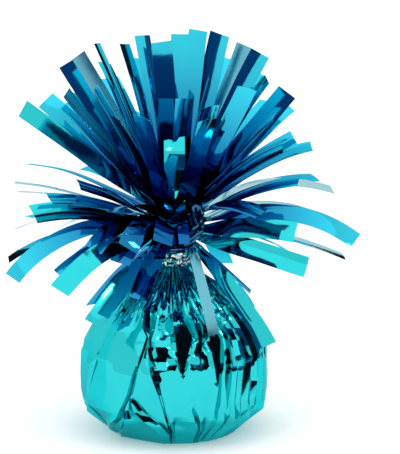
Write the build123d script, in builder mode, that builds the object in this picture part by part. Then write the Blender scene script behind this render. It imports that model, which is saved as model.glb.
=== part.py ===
"""Foil-wrapped balloon weight: a cast ballast in a plastic tub, wrapped in metallised film that is
gathered at a neck, with a big fringe of film strips above it and a plastic ribbon hook in the middle.

Millimetres. The base stands on Z = 0 with its centre at the origin, +Z is up and -Y is the front.
"""
import os
from math import cos, pi, radians, sin

from build123d import *

os.makedirs("parts", exist_ok=True)

# Film: drawn thicker than the real 0.04 mm so that every sheet is a solid.
FILM = 0.25

# Plastic tub and the ballast cast in it.
TUB_FOOT_RADIUS = 19.6
TUB_SIDE_RADIUS = 29.4
TUB_FLARE = 0.8
TUB_SIDE_HEIGHT = 13.0
TUB_HEIGHT = 29.0
TUB_WALL = 1.0
TUB_FLOOR = 1.2
TUB_FILM_GAP = 0.1
FILL_DROP = 2.0
FILL_CROWN = 5.0
# Rounded lower corner and domed filling: where the middle of each arc lies, as shares out and up.
CORNER_OUT = 0.72
CORNER_UP = 0.48
DOME_OUT = 0.55
DOME_UP = 0.72

# Ribbon hook: a flat C-shaped eye on a round stem with a drilled foot.
STEM_RADIUS = 2.0
STEM_CLEARANCE = 0.1
FOOT_RADIUS = 11.0
FOOT_THICKNESS = 2.4
FOOT_HEIGHT = 6.0
FOOT_HOLE_RADIUS = 2.0
FOOT_HOLE_CIRCLE = 7.0
FOOT_HOLES = 4
EYE_RADIUS = 5.2
EYE_BAND = 2.8
EYE_THICKNESS = 3.0
EYE_CLEARANCE = 0.05
EYE_TIP_ANGLE = 225.0
EYE_HEEL_ANGLE = 255.0
EYE_RIM = 0.7
EYE_RECESS = 0.6
RECESS_TIP_MARGIN = 4.0
RECESS_HEEL_MARGIN = 40.0

# Film wrap round the tub, gathered at the neck.
WRAP_SLACK = 1.5
WRAP_RIM_EASE = 0.3
PLEATS = 20
SIDE_PLEAT = 0.4
RIM_PLEAT = 0.5
SHOULDER_RISE = 29.5
NECK_RADIUS = 5.4
NECK_PLEAT = 0.5
# Rounded toe above the foot: share of the tub's side height, share of the widening, pleat depth.
TOE = (0.23, 0.45, 0.3)
# Shoulder between tub rim and neck: share of the rise, share of the widening, pleat depth.
SHOULDER = (
    (0.33, 0.88, 0.8),
    (0.58, 0.66, 1.1),
    (0.78, 0.36, 1.2),
    (0.93, 0.09, 0.8),
)

# Clear tape round the neck.
TAPE_SEAT = 0.4
TAPE_LENGTH = 4.4
TAPE_THICKNESS = 0.8
TAPE_CHAMFER = 0.3
NECK_GAP = 0.05

# Film tie above the tape: a loop, its knot, a twisted end and a flat end.
TIE_GAP = 0.2
TIE_RADIUS = 0.9
KNOT_RADIUS = 2.4
KNOT_GAP = 0.6
KNOT_LIFT = 1.6
KNOT_HEADING = 306.0
TWIST_BREADTH = 5.6
TWIST_DEPTH = 3.4
TWIST_LENGTH = 14.5
TWIST_STEPS = 8
TWIST_STEP_TURN = 26.0
TWIST_LEAN = 22.0
TWIST_PINCH = 0.45
END_WIDTH = 4.8
END_GAP = 0.12

# Fringe: seven gathered bands stacked on the stem, each with its own slit strips.
BAND_HEIGHT = 2.3
BAND_SPACE = 0.2
BAND_GAP = 0.25
STRIP_WIDTH = 7.2
STRIP_ROOT = 0.6
STRIP_SPREAD = 0.48
STRIP_STEPS = (0.0, 0.1, 0.22, 0.35, 0.48, 0.64, 0.82, 1.0)

# Band radii from the lowest band up.
SKIRT_RADIUS = 6.0
LOWER_RADIUS = 6.0
SIDE_RADIUS = 5.8
MIDDLE_RADIUS = 5.5
UPPER_RADIUS = 5.1
INNER_RADIUS = 4.6
CROWN_RADIUS = 4.0
BANDS = 7

# Strips of each band: heading from +X, rise at the root, sag along the length, turn of the face, length,
# and where given how far the root sits back along the band from the heading.
CROWN_STRIPS = (
    (124, 76, 4, 10, 57), (106, 80, 5, -5, 54), (84, 72, 3, 0, 58), (58, 80, 4, 5, 58), (40, 74, 2, 12, 58),
    (144, 74, 4, 10, 55),
)
INNER_STRIPS = (
    (30, 68, 4, 25, 59), (7, 66, 4, 35, 58), (342, 59, 4, 35, 53), (4, 49, 2, 70, 52, 11), (34, 56, 5, 20, 54, -8),
    (158, 68, 3, 8, 60), (182, 64, 4, -40, 59), (162, 57, 4, -45, 59, -8), (72, 60, 6, -5, 56), (90, 62, 6, 5, 56),
    (112, 60, 8, 10, 57), (139, 62, 6, 10, 55), (54, 62, 6, 10, 56),
)
UPPER_STRIPS = (
    (190, 55, 4, -30, 53, -5), (214, 46, 3, -30, 51), (182, 40, 3, -75, 59, 4), (164, 44, 4, -55, 56),
    (314, 58, 4, -25, 55, 4), (342, 46, 20, 35, 42), (30, 45, 12, 25, 54), (48, 44, 15, 15, 57),
    (78, 43, 18, -10, 57), (108, 40, 20, 10, 58), (140, 44, 15, -15, 57), (322, 48, 8, 30, 52, -4),
    (151, 55, 8, -20, 52), (12, 38, 10, 45, 45), (64, 54, 10, 12, 57), (93, 53, 12, 10, 58), (124, 54, 10, -10, 57),
)
MIDDLE_STRIPS = (
    (272, 40, 4, 5, 50), (234, 44, 60, 10, 30), (254, 54, 3, -20, 50), (288, 52, 4, 15, 50),
    (6, 37, 24, 12, 51), (217, 22, 14, -25, 47), (171, 19, 12, 5, 52), (28, 26, 30, 15, 53),
    (208, 32, 12, -25, 50, 4), (58, 28, 30, -10, 58), (92, 26, 34, 10, 58), (122, 25, 30, -15, 58),
    (150, 28, 25, 10, 56), (334, 32, 20, 25, 45), (16, 30, 36, 0, 52), (190, 24, 22, 5, 50),
)
SIDE_STRIPS = (
    (4, 24, 28, 15, 51), (352, 26, 60, 40, 60), (22, 18, 38, 12, 52), (334, 6, 8, 35, 40),
    (207, 24, 28, -40, 48), (187, 26, 84, -30, 57), (256, 24, 60, 0, 30), (157, 16, 34, 12, 52),
    (48, 12, 44, -10, 56), (80, 8, 50, 15, 56), (112, 10, 46, 0, 56), (140, 12, 44, -15, 56),
    (236, 18, 52, -10, 34), (172, 20, 46, 8, 52),
)
LOWER_STRIPS = (
    (330, -4, 8, 35, 46), (224, 8, 48, -35, 49), (178, 12, 46, -12, 54), (166, 0, 20, 8, 53),
    (10, 6, 34, 10, 56), (244, 8, 62, 0, 28), (40, 2, 36, 10, 50), (70, -2, 44, -10, 52),
    (102, -4, 40, 10, 52), (136, 0, 42, 10, 52), (208, 4, 40, -20, 40),
)
SKIRT_STRIPS = (
    (338, -40, 20, 15, 46), (226, -22, 26, -15, 47, -50), (4, -38, 8, 5, 28), (55, -30, 28, 10, 42),
    (90, -26, 34, 0, 44), (125, -30, 28, -10, 42), (160, -34, 22, 10, 36), (29, -34, 24, 10, 36),
)
# Flat end of the tie, hanging down the front from the knot.
END_STRIP = (292, -48, 12, 15, 35)

# Places that follow from the sizes above.
tub_rim_radius = TUB_SIDE_RADIUS + TUB_FLARE
tub_bottom = FILM + TUB_FILM_GAP
neck_height = TUB_HEIGHT + SHOULDER_RISE
tape_bottom = neck_height + TAPE_SEAT
tie_height = tape_bottom + TAPE_LENGTH + TIE_GAP + TIE_RADIUS
tie_ring_radius = NECK_RADIUS + NECK_GAP + TIE_RADIUS
neck_top = tie_height + TIE_RADIUS
band_pitch = BAND_HEIGHT + BAND_SPACE
lowest_band = neck_top + BAND_SPACE + BAND_HEIGHT / 2
bands_top = lowest_band + (BANDS - 1) * band_pitch + BAND_HEIGHT / 2
eye_height = bands_top + EYE_CLEARANCE + EYE_BAND + EYE_RADIUS
stem_way = STEM_RADIUS + STEM_CLEARANCE


def tub_half(inset, floor, top, crown):
    """Half section of the tub's form, drawn smaller by `inset`, from `floor` to `top` with a domed top."""
    share = (top - TUB_SIDE_HEIGHT) / (TUB_HEIGHT - TUB_SIDE_HEIGHT)
    top_radius = TUB_SIDE_RADIUS + share * TUB_FLARE - inset
    side_radius = TUB_SIDE_RADIUS - inset
    foot_radius = TUB_FOOT_RADIUS - inset
    bulge_radius = foot_radius + CORNER_OUT * (side_radius - foot_radius)
    bulge_height = floor + CORNER_UP * (TUB_SIDE_HEIGHT - floor)
    with BuildSketch(Plane.XZ) as half:
        with BuildLine():
            Line((0, floor), (foot_radius, floor))
            ThreePointArc(
                (foot_radius, floor), (bulge_radius, bulge_height), (side_radius, TUB_SIDE_HEIGHT)
            )
            Line((side_radius, TUB_SIDE_HEIGHT), (top_radius, top))
            if crown > 0:
                ThreePointArc(
                    (top_radius, top), (DOME_OUT * top_radius, top + DOME_UP * crown), (0, top + crown)
                )
            else:
                Line((top_radius, top), (0, top))
            Line((0, top + crown), (0, floor))
        make_face()
    return half.sketch


def pleated(height, radius, depth, sides=PLEATS):
    """Star-shaped cross-section of pleated film at one height."""
    points = []
    for corner in range(2 * sides):
        angle = pi * corner / sides
        reach = radius - depth * (corner % 2)
        points.append((reach * cos(angle), reach * sin(angle)))
    with BuildSketch(Plane.XY.offset(height)) as section:
        Polygon(*points, align=None)
    return section.sketch


def strip_frame(root, heading, rise, sag, turn, length, share):
    """Plane across a strip at a share of its length: X lies across the strip and Z runs along it."""
    along_floor = Vector(cos(heading), sin(heading), 0)
    across_floor = Vector(-sin(heading), cos(heading), 0)
    slope = rise - sag * share
    out = length / sag * (sin(rise) - sin(slope))
    lift = length / sag * (cos(slope) - cos(rise))
    centre = root + along_floor * out + Vector(0, 0, lift)
    along = along_floor * cos(slope) + Vector(0, 0, sin(slope))
    eased = min(1.0, 2 * share)
    angle = turn * eased * eased * (3 - 2 * eased)
    across = across_floor * cos(angle) + along.cross(across_floor) * sin(angle)
    return Plane(origin=centre, x_dir=across, z_dir=along)


def film_strip(root, heading, rise, sag, turn, length, width):
    """One strip of film, narrow where it is gathered and full width further out."""
    angles = [radians(value) for value in (heading, rise, sag, turn)]
    with BuildPart() as strip:
        for share in STRIP_STEPS:
            spread = min(1.0, share / STRIP_SPREAD)
            breadth = STRIP_ROOT + (width - STRIP_ROOT) * spread * spread * (3 - 2 * spread)
            with BuildSketch(strip_frame(root, *angles, length, share)):
                Rectangle(breadth, FILM)
        loft(ruled=True)
    return strip.part.solid()


def fringe_solids(level, radius, rows):
    """A gathered band on the stem and its strips, as separate solids."""
    height = lowest_band + level * band_pitch
    with BuildPart() as band:
        with Locations((0, 0, height)):
            Cylinder(radius - BAND_GAP, BAND_HEIGHT)
            Cylinder(stem_way, 2 * BAND_HEIGHT, mode=Mode.SUBTRACT)
    solids = [band.part.solid()]
    for row in rows:
        heading, rise, sag, turn, length = row[:5]
        setback = row[5] if len(row) > 5 else 0
        place = radians(heading - setback)
        root = Vector(radius * cos(place), radius * sin(place), height)
        solids.append(film_strip(root, heading, rise, sag, turn, length, STRIP_WIDTH))
    return solids


# Ribbon hook.
with BuildPart() as hook:
    with BuildSketch(Plane.XZ):
        with Locations((0, eye_height)):
            Circle(EYE_RADIUS + EYE_BAND)
            Circle(EYE_RADIUS, mode=Mode.SUBTRACT)
        with BuildLine():
            reach = 2 * (EYE_RADIUS + EYE_BAND)
            tip = radians(EYE_TIP_ANGLE)
            heel = radians(EYE_HEEL_ANGLE)
            Polyline(
                (0, eye_height),
                (reach * cos(tip), eye_height + reach * sin(tip)),
                (reach * cos(heel), eye_height + reach * sin(heel)),
                (0, eye_height),
            )
        make_face(mode=Mode.SUBTRACT)
        middle = EYE_RADIUS + EYE_BAND / 2
        with Locations((middle * cos(tip), eye_height + middle * sin(tip))):
            Circle(EYE_BAND / 2)
    extrude(amount=EYE_THICKNESS / 2, both=True)
    with BuildSketch(Plane.XZ.offset(EYE_THICKNESS / 2)) as recess:
        with Locations((0, eye_height)):
            Circle(EYE_RADIUS + EYE_BAND - EYE_RIM)
            Circle(EYE_RADIUS + EYE_RIM, mode=Mode.SUBTRACT)
        with BuildLine():
            tip_end = radians(EYE_TIP_ANGLE - RECESS_TIP_MARGIN)
            heel_end = radians(EYE_HEEL_ANGLE + RECESS_HEEL_MARGIN)
            Polyline(
                (0, eye_height),
                (reach * cos(tip_end), eye_height + reach * sin(tip_end)),
                (0, eye_height - 2 * reach),
                (reach * cos(heel_end), eye_height + reach * sin(heel_end)),
                (0, eye_height),
            )
        make_face(mode=Mode.SUBTRACT)
    extrude(amount=-EYE_RECESS, mode=Mode.SUBTRACT)
    far_recess = recess.sketch.moved(Location((0, EYE_THICKNESS, 0)))
    extrude(far_recess, amount=EYE_RECESS, mode=Mode.SUBTRACT)
    stem_top = eye_height - EYE_RADIUS - EYE_BAND / 2
    with Locations((0, 0, FOOT_HEIGHT)):
        Cylinder(STEM_RADIUS, stem_top - FOOT_HEIGHT, align=(Align.CENTER, Align.CENTER, Align.MIN))
        Cylinder(FOOT_RADIUS, FOOT_THICKNESS, align=(Align.CENTER, Align.CENTER, Align.MIN))
    with Locations((0, 0, FOOT_HEIGHT)):
        with PolarLocations(FOOT_HOLE_CIRCLE, FOOT_HOLES):
            Cylinder(FOOT_HOLE_RADIUS, 3 * FOOT_THICKNESS, mode=Mode.SUBTRACT)

# Tub and ballast.
with BuildPart() as ballast_tub:
    revolve(tub_half(0, tub_bottom, TUB_HEIGHT, 0), axis=Axis.Z)
    inside = tub_half(TUB_WALL, tub_bottom + TUB_FLOOR, TUB_HEIGHT, 0)
    revolve(inside, axis=Axis.Z, mode=Mode.SUBTRACT)

with BuildPart() as ballast:
    filling = tub_half(TUB_WALL, tub_bottom + TUB_FLOOR, TUB_HEIGHT - FILL_DROP, FILL_CROWN)
    revolve(filling, axis=Axis.Z)
    add(hook.part, mode=Mode.SUBTRACT)

# Film wrap: pleated outside, smooth inside, flat underneath.
foot = TUB_FOOT_RADIUS + WRAP_SLACK
belly = tub_rim_radius + WRAP_SLACK
toe_height, toe_width, toe_pleat = TOE
wrap_sections = [
    (0.0, foot, 0.0),
    (toe_height * TUB_SIDE_HEIGHT, foot + toe_width * (belly - foot), toe_pleat),
    (TUB_SIDE_HEIGHT, belly, SIDE_PLEAT),
    (TUB_HEIGHT, belly + WRAP_RIM_EASE, RIM_PLEAT),
]
for height_share, width_share, depth in SHOULDER:
    wrap_sections.append((
        TUB_HEIGHT + height_share * SHOULDER_RISE,
        NECK_RADIUS + width_share * (belly - NECK_RADIUS),
        depth,
    ))
outside = [pleated(height, radius, depth) for height, radius, depth in wrap_sections]
outside.append(pleated(neck_height, NECK_RADIUS, NECK_PLEAT))
outside.append(pleated(neck_top, NECK_RADIUS, NECK_PLEAT))
inside = [pleated(FILM, foot - FILM, 0.0)]
inside += [pleated(height, radius - FILM, depth) for height, radius, depth in wrap_sections[1:]]
inside.append(pleated(neck_height, stem_way, 0.0))
inside.append(pleated(neck_top + BAND_SPACE, stem_way, 0.0))
with BuildPart() as foil_wrap:
    loft(outside, ruled=True)
    loft(inside, ruled=True, mode=Mode.SUBTRACT)

# Clear tape.
with BuildPart() as neck_tape:
    tape_inside = NECK_RADIUS + NECK_GAP
    with Locations((0, 0, tape_bottom + TAPE_LENGTH / 2)):
        Cylinder(tape_inside + TAPE_THICKNESS, TAPE_LENGTH)
        Cylinder(tape_inside, 2 * TAPE_LENGTH, mode=Mode.SUBTRACT)
    chamfer(neck_tape.edges().filter_by(GeomType.CIRCLE).group_by(SortBy.RADIUS)[-1], TAPE_CHAMFER)

# Film tie.
with BuildPart() as neck_tie:
    with Locations((0, 0, tie_height)):
        Torus(tie_ring_radius, TIE_RADIUS)

knot_way = radians(KNOT_HEADING)
knot_reach = SKIRT_RADIUS + KNOT_GAP + KNOT_RADIUS
knot_centre = Vector(knot_reach * cos(knot_way), knot_reach * sin(knot_way), tie_height + KNOT_LIFT)
with BuildPart() as tie_knot:
    with Locations(knot_centre):
        Sphere(KNOT_RADIUS)
    add(neck_tie.part, mode=Mode.SUBTRACT)

twist_axis = Vector(
    cos(knot_way) * sin(radians(TWIST_LEAN)),
    sin(knot_way) * sin(radians(TWIST_LEAN)),
    cos(radians(TWIST_LEAN)),
)
twist_root = knot_centre + twist_axis * KNOT_RADIUS
with BuildPart() as tie_twist:
    for step in range(TWIST_STEPS + 1):
        share = step / TWIST_STEPS
        fullness = 1 - TWIST_PINCH * (1 - sin(pi * (1 + 2 * share) / 4))
        turn = radians(step * TWIST_STEP_TURN)
        flat = Vector(cos(knot_way + pi / 2), sin(knot_way + pi / 2), 0)
        across = flat * cos(turn) + twist_axis.cross(flat) * sin(turn)
        place = Plane(origin=twist_root + twist_axis * (share * TWIST_LENGTH), x_dir=across, z_dir=twist_axis)
        with BuildSketch(place):
            Rectangle(TWIST_BREADTH * fullness, TWIST_DEPTH * fullness)
    loft(ruled=True)

end_heading = radians(END_STRIP[0])
end_root = knot_centre + Vector(cos(end_heading), sin(end_heading), 0) * (KNOT_RADIUS + END_GAP)
with BuildPart() as tie_end:
    add(film_strip(end_root, *END_STRIP, END_WIDTH))

# Fringe, from the lowest band to the top.
with BuildPart() as skirt_fringe:
    add(fringe_solids(0, SKIRT_RADIUS, SKIRT_STRIPS))
with BuildPart() as lower_fringe:
    add(fringe_solids(1, LOWER_RADIUS, LOWER_STRIPS))
with BuildPart() as side_fringe:
    add(fringe_solids(2, SIDE_RADIUS, SIDE_STRIPS))
with BuildPart() as middle_fringe:
    add(fringe_solids(3, MIDDLE_RADIUS, MIDDLE_STRIPS))
with BuildPart() as upper_fringe:
    add(fringe_solids(4, UPPER_RADIUS, UPPER_STRIPS))
with BuildPart() as inner_fringe:
    add(fringe_solids(5, INNER_RADIUS, INNER_STRIPS))
with BuildPart() as crown_fringe:
    add(fringe_solids(6, CROWN_RADIUS, CROWN_STRIPS))

hook.part.label = "hook"
ballast_tub.part.label = "ballast_tub"
ballast.part.label = "ballast"
foil_wrap.part.label = "foil_wrap"
neck_tape.part.label = "neck_tape"
neck_tie.part.label = "neck_tie"
tie_knot.part.label = "tie_knot"
tie_twist.part.label = "tie_twist"
tie_end.part.label = "tie_end"
skirt_fringe.part.label = "skirt_fringe"
lower_fringe.part.label = "lower_fringe"
side_fringe.part.label = "side_fringe"
middle_fringe.part.label = "middle_fringe"
upper_fringe.part.label = "upper_fringe"
inner_fringe.part.label = "inner_fringe"
crown_fringe.part.label = "crown_fringe"

export_step(hook.part, "parts/hook.step")
export_step(ballast_tub.part, "parts/ballast_tub.step")
export_step(ballast.part, "parts/ballast.step")
export_step(foil_wrap.part, "parts/foil_wrap.step")
export_step(neck_tape.part, "parts/neck_tape.step")
export_step(neck_tie.part, "parts/neck_tie.step")
export_step(tie_knot.part, "parts/tie_knot.step")
export_step(tie_twist.part, "parts/tie_twist.step")
export_step(tie_end.part, "parts/tie_end.step")
export_step(skirt_fringe.part, "parts/skirt_fringe.step")
export_step(lower_fringe.part, "parts/lower_fringe.step")
export_step(side_fringe.part, "parts/side_fringe.step")
export_step(middle_fringe.part, "parts/middle_fringe.step")
export_step(upper_fringe.part, "parts/upper_fringe.step")
export_step(inner_fringe.part, "parts/inner_fringe.step")
export_step(crown_fringe.part, "parts/crown_fringe.step")
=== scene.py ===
# %% [markdown]
# # A foil balloon weight
# A small tub of cast ballast stands wrapped in teal metallised film. The film is gathered, taped and tied at
# a neck, and above the tie a big fringe of slit film stands out all round, with a plastic ribbon hook in it.
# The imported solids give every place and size. This lesson dresses them: the film becomes thin creased sheets,
# and the hook, tub and ballast keep their solids and get finishes.

# %% Load the frame
import random
from math import cos, pi, radians, sin, sqrt

import bmesh
import bpy
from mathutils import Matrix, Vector


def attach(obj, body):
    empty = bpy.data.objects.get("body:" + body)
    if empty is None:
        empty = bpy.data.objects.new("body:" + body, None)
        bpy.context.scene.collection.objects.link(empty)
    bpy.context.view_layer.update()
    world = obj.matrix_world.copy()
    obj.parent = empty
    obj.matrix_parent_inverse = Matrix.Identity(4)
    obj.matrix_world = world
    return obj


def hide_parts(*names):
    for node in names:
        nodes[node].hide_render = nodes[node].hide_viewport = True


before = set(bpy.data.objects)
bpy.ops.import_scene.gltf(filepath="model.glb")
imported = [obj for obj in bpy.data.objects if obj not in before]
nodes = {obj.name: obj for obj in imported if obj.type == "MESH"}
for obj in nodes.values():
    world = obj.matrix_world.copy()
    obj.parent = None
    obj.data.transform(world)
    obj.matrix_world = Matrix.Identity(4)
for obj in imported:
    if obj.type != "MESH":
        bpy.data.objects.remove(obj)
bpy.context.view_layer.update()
scene = bpy.context.scene
MM = 0.001

# %% [markdown]
# ## Camera
# The weight was photographed from a little above with a long lens, as product pictures are. A camera 0.7 m
# away and 10 degrees up gives the same ellipse at the foot. It aims beside the stem, because the weight
# stands left of the picture's middle.

# %% Camera
IMAGE_HEIGHT = 454
CAMERA_DISTANCE = 0.700
CAMERA_RISE = radians(10)
AIM = Vector((0.0090, 0.0, 0.0715))
FOCAL_PIXELS = 2023
SENSOR = 36.0

back = Vector((0, -cos(CAMERA_RISE), sin(CAMERA_RISE)))
camera = bpy.data.objects.new("camera", bpy.data.cameras.new("camera"))
camera.location = AIM + back * CAMERA_DISTANCE
camera.rotation_euler = (-back).to_track_quat("-Z", "Y").to_euler()
camera.data.sensor_width = SENSOR
camera.data.lens = SENSOR * FOCAL_PIXELS / IMAGE_HEIGHT
camera.data.clip_start = 0.01
scene.collection.objects.link(camera)
scene.camera = camera
print("lens:", round(camera.data.lens, 1), "mm")

# %% [markdown]
# ## Small helpers
# A colour is given as an sRGB hex value and Blender works with linear light, so one function turns one into the
# other. A second adds a node with its settings and links, and a third makes a piece from points that are given
# in millimetres and lets it ride on the model's one body.

# %% Colours and nodes
# Sockets of a Mix node that mixes colours: the two colours that go in and the one that comes out.
MIX_A = 6
MIX_B = 7
MIX_RESULT = 2


def paint(hex_colour):
    """Linear colour, with alpha, of an sRGB hex value."""
    channels = [int(hex_colour[i:i + 2], 16) / 255 for i in (1, 3, 5)]
    return [c / 12.92 if c <= 0.04045 else ((c + 0.055) / 1.055) ** 2.4 for c in channels] + [1.0]


def add_node(tree, kind, settings=None, inputs=None):
    """Adds a node; an input is a value, or an output socket to link from."""
    node = tree.nodes.new(kind)
    for name, value in (settings or {}).items():
        setattr(node, name, value)
    for name, value in (inputs or {}).items():
        if isinstance(value, bpy.types.NodeSocket):
            tree.links.new(value, node.inputs[name])
        else:
            node.inputs[name].default_value = value
    return node


def new_material(name):
    """An empty material, with its node tree and its output node."""
    material = bpy.data.materials.new(name)
    material.use_nodes = True
    material.node_tree.nodes.clear()
    return material, material.node_tree, add_node(material.node_tree, "ShaderNodeOutputMaterial")


print("mid grey in linear light:", round(paint("#808080")[0], 3))


# %% Pieces
def new_piece(name, points, faces, materials, slots=None, crease=30):
    """A smooth mesh from points in millimetres, sharp at rims and where it bends past `crease` degrees."""
    mesh = bpy.data.meshes.new(name)
    mesh.from_pydata([Vector(point) * MM for point in points], [], faces)
    for material in materials:
        mesh.materials.append(material)
    if slots:
        mesh.polygons.foreach_set("material_index", slots)
    shape = bmesh.new()
    shape.from_mesh(mesh)
    for face in shape.faces:
        face.smooth = True
    for edge in shape.edges:
        edge.smooth = not edge.is_boundary and edge.calc_face_angle(0.0) < radians(crease)
    shape.to_mesh(mesh)
    shape.free()
    piece = bpy.data.objects.new(name, mesh)
    scene.collection.objects.link(piece)
    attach(piece, "root")
    return piece


def thicken(piece, thickness):
    """Gives a sheet its thickness in millimetres; the side behind its faces takes the next slot."""
    film = piece.modifiers.new("film", "SOLIDIFY")
    film.thickness = thickness * MM
    film.offset = 0
    film.material_offset = 1


def grid_faces(rows, columns, start=0, closed=False):
    """Faces of a grid of points that are listed row by row; closed joins the last column to the first."""
    faces = []
    for row in range(rows - 1):
        for column in range(columns if closed else columns - 1):
            here = start + row * columns + column
            beside = start + row * columns + (column + 1) % columns
            faces.append((here, beside, beside + columns, here + columns))
    return faces


print("a sheet of 3 by 4 points has", len(grid_faces(3, 4)), "faces")

# %% [markdown]
# ## Metallised film
# The film is polyester with a mirror coat of aluminium on one side, lacquered teal. To the eye it is a
# coloured mirror: it has hardly any colour of its own, but tints what it reflects, once on the outer strips
# and many times between the strips in the middle, where cyan turns to navy. So the colour belongs to a metal
# shader. The drawn fringe has fewer layers than a real one and tints the light fewer times, so its film makes
# up for them with painted shade: a tint that deepens toward the hub. The lacquer adds a thin clear coat with
# white glints, and handling leaves a shallow waviness 4 to 7 mm long, which a noise bump gives.

# %% Film materials
# Middle of the fringe, where its painted shade is darkest.
HUB = (0.0, 0.0, 75 * MM)
LACQUER_PATCH = 9.0
COAT_ROUGHNESS = 0.03


def film_material(name, front, roughness, wave_mm, wave_depth_mm, coat, painted_hub_shade=None):
    """Metal film tinted `front`, with a shallow waviness. `painted_hub_shade` is painted shade: its colour
    close to the hub and the two distances in millimetres between which that fades."""
    material, tree, output = new_material(name)
    place = add_node(tree, "ShaderNodeTexCoord")
    waves = add_node(tree, "ShaderNodeTexNoise", None, {
        "Vector": place.outputs["Object"], "Scale": 1 / (wave_mm * MM), "Detail": 1.5, "Roughness": 0.4})
    bump = add_node(tree, "ShaderNodeBump", None, {
        "Height": waves.outputs["Fac"], "Strength": 1.0, "Distance": wave_depth_mm * MM})
    lacquer = add_node(tree, "ShaderNodeTexNoise", None, {
        "Vector": place.outputs["Object"], "Scale": 1 / (LACQUER_PATCH * MM), "Detail": 2.0})
    tint = add_node(tree, "ShaderNodeMix", {"data_type": "RGBA"}, {
        "Factor": lacquer.outputs["Fac"], MIX_A: paint(front[0]), MIX_B: paint(front[1])})
    colour = tint.outputs[MIX_RESULT]
    # Painted shade: the tint darkens toward the hub, for the light that the film mirrors between many strips.
    if painted_hub_shade:
        apart = add_node(tree, "ShaderNodeVectorMath", {"operation": "DISTANCE"}, {
            0: place.outputs["Object"], 1: HUB})
        depth = add_node(tree, "ShaderNodeMapRange", {"interpolation_type": "SMOOTHSTEP"}, {
            "Value": apart.outputs["Value"], "From Min": painted_hub_shade[1] * MM, "From Max": painted_hub_shade[2] * MM})
        shade = add_node(tree, "ShaderNodeMix", {"data_type": "RGBA"}, {
            "Factor": depth.outputs["Result"], MIX_A: paint(painted_hub_shade[0]), MIX_B: colour})
        colour = shade.outputs[MIX_RESULT]
    haze = add_node(tree, "ShaderNodeMapRange", None, {
        "Value": lacquer.outputs["Fac"], "From Min": 0.3, "From Max": 0.7,
        "To Min": roughness[0], "To Max": roughness[1]})
    shader = add_node(tree, "ShaderNodeBsdfPrincipled", None, {
        "Base Color": colour, "Metallic": 1.0, "Roughness": haze.outputs["Result"],
        "Normal": bump.outputs["Normal"], "Coat Weight": coat, "Coat Roughness": COAT_ROUGHNESS,
        "Specular Tint": paint(front[1])})
    tree.links.new(shader.outputs["BSDF"], output.inputs["Surface"])
    return material


# The lacquered front of the fringe: a bluish teal mirror, with painted shade of a darker blue near the hub.
fringe_film = film_material("metallised_polyester_blue_teal", ("#2CC8E2", "#38D2E6"), (0.04, 0.09),
                            6.0, 0.05, 0.15, painted_hub_shade=("#0A5FA0", 18, 68))
# The lacquered front of the wrap: a greener, even teal mirror.
wrap_film = film_material("metallised_polyester_teal", ("#26C2CA", "#2ECBD0"), (0.04, 0.09), 7.0, 0.06, 0.12)
# The bare aluminium behind: a pale mirror with a breath of teal.
silver_film = film_material("metallised_polyester_silver_back", ("#AFD6DB", "#BEE0E4"), (0.08, 0.14),
                            6.0, 0.05, 0.1)
# Scuffed film: its mirror is hazed, so a strip of it shows one flat grey blue.
dull_film = film_material("metallised_polyester_hazed_back", ("#60AABC", "#6CB6C6"), (0.22, 0.30),
                          6.0, 0.05, 0.1)
# Film that is rolled on itself mirrors its own folds and looks nearly navy; that navy is painted shade in its
# tint.
doubled_film_painted_shade = film_material("metallised_polyester_doubled_painted_shade", ("#0E4E78", "#12608C"), (0.05, 0.10), 4.0, 0.08, 0.6)
print("film materials:", [m.name for m in (fringe_film, wrap_film, silver_film, dull_film, doubled_film_painted_shade)])

# %% [markdown]
# ## Foil wrap
# A square of film is drawn up round the tub and gathered at the neck. Film can't stretch, so it stands in
# flat or gently bent panels that meet in sharp creases: broad panels on the body, narrow pleats on the
# shoulder. A displaced smooth form would look like rubber. So the sheet is built from its creases: each one
# is a line from foot to neck with its own bearings, and the panels between two of them are ruled straight
# across. Only the front was seen, so its creases are placed one by one.

# %% Creases of the front
# Round form of the wrap: height and radius in millimetres.
WRAP_FORM = (
    (0.0, 21.3), (10.5, 31.6), (14.0, 32.1), (28.4, 32.2), (34.0, 29.1), (38.7, 26.3), (46.1, 20.6),
    (52.0, 14.4), (56.4, 7.9), (58.5, 5.7), (61.0, 5.3), (65.3, 5.4),
)
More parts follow.
